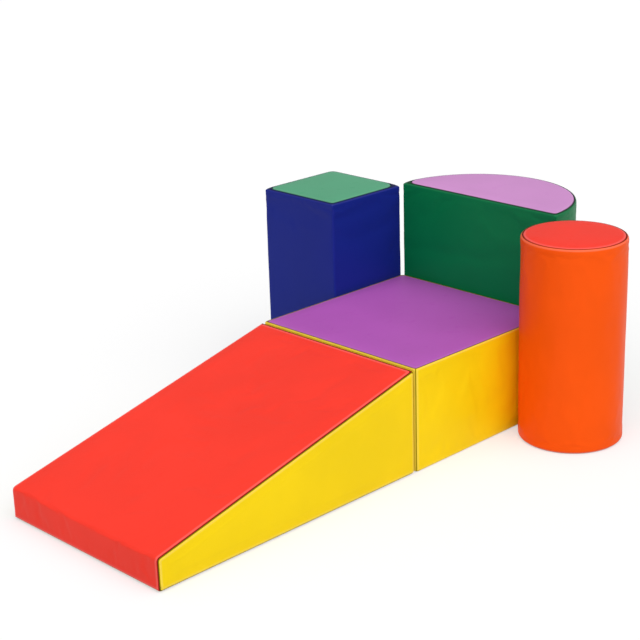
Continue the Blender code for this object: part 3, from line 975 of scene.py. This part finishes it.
def crowned_rows(path, corner, edge, reach, seed, wave_depth, rise):
    """Rows of a crowned panel in its own flat frame, and its middle point."""
    stations = stations_of(path(0, corner), cover_step)
    rings = flat_rings(path, stations, corner, edge, reach)
    runs, around = runs_along(rings[len(edge) - 1][0])
    points, near, _ = rings[-1]
    middle = sum(points, Vector((0, 0))) / len(points)
    widest = max((p - middle).length for p in points)
    steps = round(widest / broad_step)
    for step in range(1, steps):
        share = 1 - step / steps
        rings.append(([middle.lerp(p, share) for p in points], near + (1 - share) * widest, 0))

    def level(point, run, near, depth):
        """How high a point of the panel lies."""
        middle_share = min(near / widest, 1)
        lift = rise * (crown(near) + dome * middle_share * (2 - middle_share))
        lift -= wave_depth * sink(Vector((point.x, point.y, 0)), seed) * min(near / hollow_fade, 1)
        lift += pucker_depth * pucker(run, around, near, seed) * min(near / pucker_start, 1)
        return lift - depth

    rows = [
        [(Vector((p.x, p.y, level(p, run, near, depth))), run, near) for p, run in zip(points, runs)]
        for points, near, depth in rings
    ]
    return rows, (Vector((middle.x, middle.y, level(middle, 0, widest, 0))), 0, widest)


def laid(rows, tip, place):
    """Puts rows and their middle point where they belong."""
    return [[(place(p), run, near) for p, run, near in row] for row in rows], (place(tip[0]), *tip[1:])


for block, seed in top_seeds.items():
    path, origin, height = block_form(block)
    rows, tip = crowned_rows(
        path, seam_corner, seamed_edge(block), panel_reach, seed, top_wave_depth, top_crown_share
    )
    lifted = origin + Vector((0, 0, height))
    rows, tip = laid(rows, tip, lambda p: lifted + p)
    cover_panel(block, "top_cover", "top_panel", rows, end_tip=tip)

# Ramp covers: two yellow side wedges and a yellow back, sewn to one red slide panel that runs up
# the nose, folds over it without a seam and goes on up the slope. The seams lie on the block's edges;
# at the head of the slide and round the back, against the platform, their painted dark band is wider
# for the shade in that joint.

climb_step = 1.3 * cover_step
side_crown_share = 0.45
slide_crown_share = 0.90
nose_crown_share = 0.12
back_crown_share = 0
slope_shoulder = 0.05
joint_shade_reach = 0.0036
side_reach = 0.021
fold_steps = 9
slide_seed = 41
side_seeds = {"left": 51, "right": 49}
back_seed = 57
slope = math.atan2(platform_height - nose_height, ramp_length)
slope_length = math.hypot(platform_height - nose_height, ramp_length)
fold_turn = quarter - slope
fold_reach = nose_fold_radius * math.tan(fold_turn / 2)
nose_run = nose_height - fold_reach
climb_start = nose_run + nose_fold_radius * fold_turn
slide_run = climb_start + slope_length - fold_reach
head_turn = (quarter + slope) / 2
head_edge = mitred_edge(head_turn)


def slide_place(run, across, lift):
    """A point of the slide panel: run up the nose, over the fold and up the slope."""
    nose_x = ramp_back_x - ramp_length
    if run < nose_run:
        return Vector((nose_x - lift, across, run))
    if run < climb_start:
        angle = math.pi - (run - nose_run) / nose_fold_radius
        reach = nose_fold_radius + lift
        x = nose_x + nose_fold_radius + reach * math.cos(angle)
        return Vector((x, across, nose_run + reach * math.sin(angle)))
    left = slide_run - run
    x = ramp_back_x - left * math.cos(slope) - lift * math.sin(slope)
    z = platform_height - left * math.sin(slope) + lift * math.cos(slope)
    return Vector((x, across, z))


def spots_between(start_edge, end_edge, total, inner):
    """Places across a panel with mitred seams at both ends: distance, depth, near."""
    first, last = start_edge[1][0], end_edge[1][0]
    spots = [(inset, depth, max(inset - first, 0)) for inset, depth in start_edge]
    spots += [(place, 0, min(place - first, total - place - last)) for place in inner]
    return spots + [(total - inset, depth, max(inset - last, 0)) for inset, depth in reversed(end_edge)]


def evenly(start, end, spacing):
    """Places between two others, both left out."""
    steps = max(round((end - start) / spacing), 1)
    return [start + (end - start) * k / steps for k in range(1, steps)]


def slide_cover(seed):
    """The red panel as one grid: across the ramp, and up its nose and slope."""
    edge_reach, head_reach = square_edge[-1][0], head_edge[-1][0]
    across_spots = spots_between(
        square_edge, square_edge, ramp_width, evenly(edge_reach, ramp_width - edge_reach, cover_step)
    )
    fold_run = climb_start - nose_run
    fold = [nose_run + fold_run * k / fold_steps for k in range(fold_steps + 1)]
    inner = evenly(edge_reach, nose_run, cover_step) + fold
    inner += evenly(climb_start, slide_run - head_reach, climb_step)
    run_spots = spots_between(square_edge, head_edge, slide_run, inner)
    rows = []
    for run, run_depth, run_near in run_spots:
        on_slope = min(max((run - climb_start) / slope_shoulder, 0), 1)
        rise = nose_crown_share + (slide_crown_share - nose_crown_share) * on_slope
        row = []
        for across, across_depth, across_near in across_spots:
            near = min(run_near, across_near)
            flat = slide_place(run, across - ramp_width / 2, 0)
            lift = rise * crown(near) - top_wave_depth * sink(flat, seed) * min(near / hollow_fade, 1)
            along = run if across_near < run_near else across
            lift += pucker_depth * pucker(along, slide_run, near, seed) * min(near / pucker_start, 1)
            place = slide_place(run, across - ramp_width / 2, lift - max(run_depth, across_depth))
            # Painted shade: at the head, against the platform, the seam's dark band reaches further for
            # the shade in the joint.
            shown = max(run_near - joint_shade_reach, 0) if run > climb_start else run_near
            row.append((place, along, min(shown, across_near)))
        rows.append(row[::-1])
    cover_panel("ramp", "slide_cover", "slide_panel", rows, loop=False)


slide_cover(slide_seed)

for side, label in ((1, "left"), (-1, "right")):
    seed = side_seeds[label]
    rows, tip = crowned_rows(
        ramp_path, ramp_corner, square_edge, side_reach, seed, wall_wave_depth, side_crown_share
    )
    rows, tip = laid(
        rows, tip, lambda p: Vector((ramp_back_x + p.x, side * (ramp_width / 2 + p.z), p.y))
    )
    if side > 0:
        rows = [row[::-1] for row in rows]
    cover_panel("ramp", "side_cover_" + label, "side_panel_" + label, rows, end_tip=tip)


def back_place(point):
    """A point of the back panel; its top edge turns further than a square one."""
    over = max(point.y / (platform_height / 2), 0) * max(-point.z, 0)
    lowered = point.y - over * (math.tan(head_turn) - 1)
    return Vector((ramp_back_x + point.z, point.x, platform_height / 2 + lowered))


back_path = square_path(ramp_width, platform_height)
rows, tip = crowned_rows(
    back_path, ramp_corner, square_edge, panel_reach, back_seed, wall_wave_depth, back_crown_share
)
# Painted shade: the back stands against the platform, so the dark band along all its seams is widened for
# the shade there.
rows = [[(p, run, max(near - joint_shade_reach, 0)) for p, run, near in row] for row in rows]
rows, tip = laid(rows, tip, back_place)
cover_panel("ramp", "back_cover", "back_panel", rows, end_tip=tip)

# The covers' fit: walls and slide are cut a hair larger than the foam. A cloth simulation, held fast
# at the seams and softly by the foam, lets the spare vinyl find its own shallow ripples and hollows.

spare_share = 0.004
settle_frames = 14
seam_hold = 0.004
hold_reach = 0.020
foam_hold = 0.06
ripple_limit = 0.0006
sheet_settings = {
    "pin_stiffness": 0.6,
    "mass": 0.5,
    "tension_stiffness": 60,
    "compression_stiffness": 60,
    "shear_stiffness": 30,
    "bending_stiffness": 4,
    "shrink_min": -spare_share,
    "use_pressure": True,
    "uniform_pressure_force": 0.4,
}
settling_covers = [block + "_wall_cover" for block in upright_blocks] + ["ramp_slide_cover"]


def make_cloth(obj):
    """Makes a cover cloth that its seams hold fast and the foam holds softly."""
    held = obj.vertex_groups.new(name="held")
    for k, near in enumerate(obj.data.attributes["seam_near"].data):
        free = smooth_step((near.value - seam_hold) / (hold_reach - seam_hold))
        held.add([k], 1 - (1 - foam_hold) * free, "REPLACE")
    cloth = obj.modifiers.new("settle", "CLOTH")
    cloth.collision_settings.use_collision = False
    cloth.point_cache.frame_end = settle_frames
    cloth.settings.vertex_group_mass = held.name
    cloth.settings.effector_weights.gravity = 0
    for key, value in sheet_settings.items():
        setattr(cloth.settings, key, value)
    obj.modifiers["vinyl"].show_viewport = False


def settle(covers):
    """Runs the cloth on the covers together, and keeps each point's move up to a limit."""
    for obj in covers:
        make_cloth(obj)
    for step in range(settle_frames):
        bpy.context.scene.frame_set(step + 1)
    graph = bpy.context.evaluated_depsgraph_get()
    settled = [[vert.co.copy() for vert in obj.evaluated_get(graph).data.vertices] for obj in covers]
    for obj, places in zip(covers, settled):
        obj.modifiers.remove(obj.modifiers["settle"])
        obj.vertex_groups.clear()
        obj.modifiers["vinyl"].show_viewport = True
        for vert, place in zip(obj.data.vertices, places):
            move = place - vert.co
            if move.length > 0:
                vert.co += ripple_limit * math.tanh(move.length / ripple_limit) * move.normalized()
    bpy.context.scene.frame_set(1)


settle([bpy.data.objects[name] for name in settling_covers])

# Hook and loop strips: woven nylon tapes sewn round their edge to the walls that meet, with loops
# on the platform and moulded hooks on the blocks that come off. They hide in the narrow gaps.

strip_corner = 0.004
backing_step = 0.002
backing_thickness = 0.0005
backing_profile = ((0, 0), (0, 0.7), (0.00015, 1), (0.0010, 1), (0.0030, 1))
pile_pitch = 0.0021
pile_margin = 0.0030
pile_height = 0.00085
pile_thread = 0.00013
pile_sides = 3
hook_shape = ((0, 0), (0.1, 0.55), (0.7, 0.93), (1.5, 0.97), (2.1, 0.72), (2.2, 0.50))
hook_lean = 0.00028
hook_unevenness = 0.06
hook_change = 900
loop_half_width = 0.0006
loop_steps = 6
loop_unevenness = 0.15
loop_change = 500
loop_turn_change = 700
loop_turn_share = 0.3
stitch_inset = 0.0016
stitch_length = 0.0030
stitch_pitch = 0.0042
stitch_thread = 0.00022
stitch_sides = 5
stitch_shape = ((-0.5, -0.4), (-0.36, 0.6), (0, 0.9), (0.36, 0.6), (0.5, -0.4))
STRIP_COLOUR = (0.018, 0.018, 0.020, 1)
STRIP_SHADE = (0.034, 0.034, 0.038, 1)
THREAD_COLOUR = (0.05, 0.05, 0.055, 1)

strip_nylon = woven_material("strip_nylon", STRIP_COLOUR, STRIP_SHADE, scale=300.0, roughness=0.55)
strip_thread = woven_material("strip_thread", THREAD_COLOUR, STRIP_SHADE, scale=900.0, roughness=0.45)


def strip_lie(node, block):
    """Where a strip lies: its own X across, Y upwards and Z away from the wall; and its size."""
    low, high = span(node)
    middle, size = (low + high) / 2, high - low
    thin = 0 if size.x < size.y else 1
    away = Vector((0, 0, 0))
    away[thin] = math.copysign(1, middle[thin]) * (1 if block == "platform" else -1)
    upward = Vector((0, 0, 1))
    middle -= away * size[thin] / 2
    lie = Matrix((upward.cross(away), upward, away)).transposed().to_4x4()
    return Matrix.Translation(middle) @ lie, size[1 - thin], size.z


def backing(bm, width, length):
    """The woven tape under the pile: a thin sheet with rounded corners."""
    path = square_path(width, length)
    stations = stations_of(path(0, strip_corner), backing_step)
    rings = []
    for inset, share in backing_profile:
        points = ring(path(inset, strip_corner), stations)
        rings.append([bm.verts.new((p.x, p.y, share * backing_thickness)) for p in points])
    bridge(bm, rings)
    bm.faces.new(rings[-1])
    bm.faces.new(rings[0][::-1])


def hook_points(place, seed):
    """A moulded hook: up, over and a little down again. Gives its line and a direction across it."""
    lean = hook_lean if seed % 2 else -hook_lean
    uneven = hook_unevenness * noise.noise(place * hook_change)
    rise = pile_height * (1 - hook_unevenness + uneven)
    points = [place + Vector((0, lean * along, rise * up)) for along, up in hook_shape]
    return points, Vector((1, 0, 0))


def loop_points(place, seed):
    """A brushed loop: a loose arch turned its own way. Gives its line and a direction across it."""
    twist = noise.noise(place * loop_turn_change + Vector((seed, 0, 0)))
    turn = math.pi * (twist + loop_turn_share * seed)
    along = Vector((math.cos(turn), math.sin(turn), 0))
    uneven = loop_unevenness * noise.noise(place * loop_change)
    rise = pile_height * (1 - loop_unevenness + uneven)
    points = []
    for k in range(loop_steps + 1):
        angle = math.pi * k / loop_steps
        foot = place - along * loop_half_width * math.cos(angle)
        points.append(foot + Vector((0, 0, rise * math.sin(angle))))
    return points, Vector((-along.y, along.x, 0))


def strip(node, block, pile):
    """One strip: backing, pile and the stitches that hold it to the wall."""
    lie, width, length = strip_lie(node, block)
    bm = bmesh.new()
    backing(bm, width, length)
    across, upward = [
        [pile_pitch * (k - (count - 1) / 2) for k in range(count)]
        for count in (int((size - 2 * pile_margin) / pile_pitch) + 1 for size in (width, length))
    ]
    for row, y in enumerate(upward):
        for k, x in enumerate(across):
            place = Vector((x, y, backing_thickness - pile_thread))
            points, side = pile(place, k + row)
            add_tube(bm, points, pile_thread, pile_sides, side)
    bmesh.ops.transform(bm, matrix=lie, verts=bm.verts)
    name = node.replace("_strip", "_tape")
    tape = add_piece(name, finished_mesh(name, bm), strip_nylon, block, "hook_and_loop", node)

    bm = bmesh.new()
    path = square_path(width, length)(stitch_inset, strip_corner - stitch_inset)
    line = ring(path, stations_of(path, stitch_pitch))
    for before, after in zip(line, line[1:] + line[:1]):
        along = (after - before).normalized() * stitch_length
        centre = (before + after) / 2
        points = []
        for share, level in stitch_shape:
            spot = centre + along * share
            points.append(Vector((spot.x, spot.y, backing_thickness + level * stitch_thread)))
        add_tube(bm, points, stitch_thread, stitch_sides, Vector((0, 0, 1)))
    bmesh.ops.transform(bm, matrix=lie, verts=bm.verts)
    name += "_stitches"
    stitches = add_object(name, finished_mesh(name, bm), strip_thread)
    stitches.parent = tape


for side in ("_left", "_right"):
    for block in ("ramp", "half_round"):
        strip(f"platform_loop_strip_{block}{side}", "platform", loop_points)
        strip(f"{block}_hook_strip{side}", block, hook_points)
strip("platform_loop_strip_pillar", "platform", loop_points)
strip("pillar_hook_strip", "pillar", hook_points)

# Floor and light: a white studio floor under a soft sky that is brightest high up behind the
# camera. The floor throws back less light than it shows, as a grey studio floor would.

floor_reach = 45
floor_squares = 8
floor_drop = 0.0004
key_azimuth = math.radians(-29)
key_height = math.radians(54)
sky_dim = 0.38
sky_bright = 2.02
key_edge = 0.40
FLOOR_COLOUR = (0.55, 0.55, 0.55, 1)
FLOOR_GLOW = (0.45, 0.45, 0.45, 1)
BOUNCE_COLOUR = (0.60, 0.60, 0.60, 1)
BLACK = (0, 0, 0, 1)


def towards(azimuth, height):
    """The direction at an angle round from the front and at a height."""
    level = math.cos(height)
    return Vector((math.sin(azimuth) * level, -math.cos(azimuth) * level, math.sin(height)))


bm = bmesh.new()
bmesh.ops.create_grid(bm, x_segments=floor_squares, y_segments=floor_squares, size=floor_reach)
floor_mesh = bpy.data.meshes.new("studio_floor")
bm.to_mesh(floor_mesh)
bm.free()
floor_paint, paint_tree = new_material("floor_paint")
floor = add_object("studio_floor", floor_mesh, floor_paint)
floor.location.z = -floor_drop
rays = add_node(paint_tree, "LightPath").outputs
seen = rays["Is Camera Ray"]
for kind in ("Is Glossy Ray", "Is Transmission Ray"):
    seen = calculated(paint_tree, "MAXIMUM", seen, rays[kind])
feed(paint_tree, paint_tree.nodes["Principled BSDF"], {
    "Base Color": mixed(paint_tree, seen, BOUNCE_COLOUR, FLOOR_COLOUR),
    "Emission Color": mixed(paint_tree, seen, BLACK, FLOOR_GLOW),
    "Emission Strength": 1.0,
    "Roughness": 1.0,
    "Specular IOR Level": 0.0,
})

world = bpy.data.worlds.new("studio")
bpy.context.scene.world = world
world.use_nodes = True
sky = world.node_tree
direction = add_node(sky, "TexCoord").outputs["Generated"]
towards_key = {0: direction, 1: towards(key_azimuth, key_height)}
facing = add_node(sky, "VectorMath", towards_key, operation="DOT_PRODUCT").outputs["Value"]
glow = ramped(sky, facing, key_edge, 1.0, sky_dim, sky_bright)
feed(sky, sky.nodes["Background"], {"Color": (1, 1, 1, 1), "Strength": glow})

# Camera: a long lens from the nose's right, a little above the tallest blocks, as in the photograph.
# Its place, turn, focal length and centre were solved from the straight edges of the blocks.

image_width = 640
sensor_width = 36
focal_pixels = 1587.4
centre_pixel = (358.2, 312.8)
camera_place = Vector((-2.1622, -1.9904, 1.2271))
camera_azimuth = math.radians(-45.45)
camera_height = math.radians(19.012)
camera_roll = math.radians(-1.302)

lens = bpy.data.cameras.new("camera")
lens.sensor_width = sensor_width
lens.lens = focal_pixels * sensor_width / image_width
lens.shift_x = (image_width / 2 - centre_pixel[0]) / image_width
lens.shift_y = (centre_pixel[1] - image_width / 2) / image_width
camera = add_object("camera", lens)
back = towards(camera_azimuth, camera_height)
level_right = Vector((0, 0, 1)).cross(back).normalized()
upward = back.cross(level_right)
right = math.cos(camera_roll) * level_right + math.sin(camera_roll) * upward
top = math.cos(camera_roll) * upward - math.sin(camera_roll) * level_right
camera.matrix_world = Matrix.Translation(camera_place) @ Matrix((right, top, back)).transposed().to_4x4()
bpy.context.scene.camera = camera
bpy.context.scene.view_settings.view_transform = "Standard"
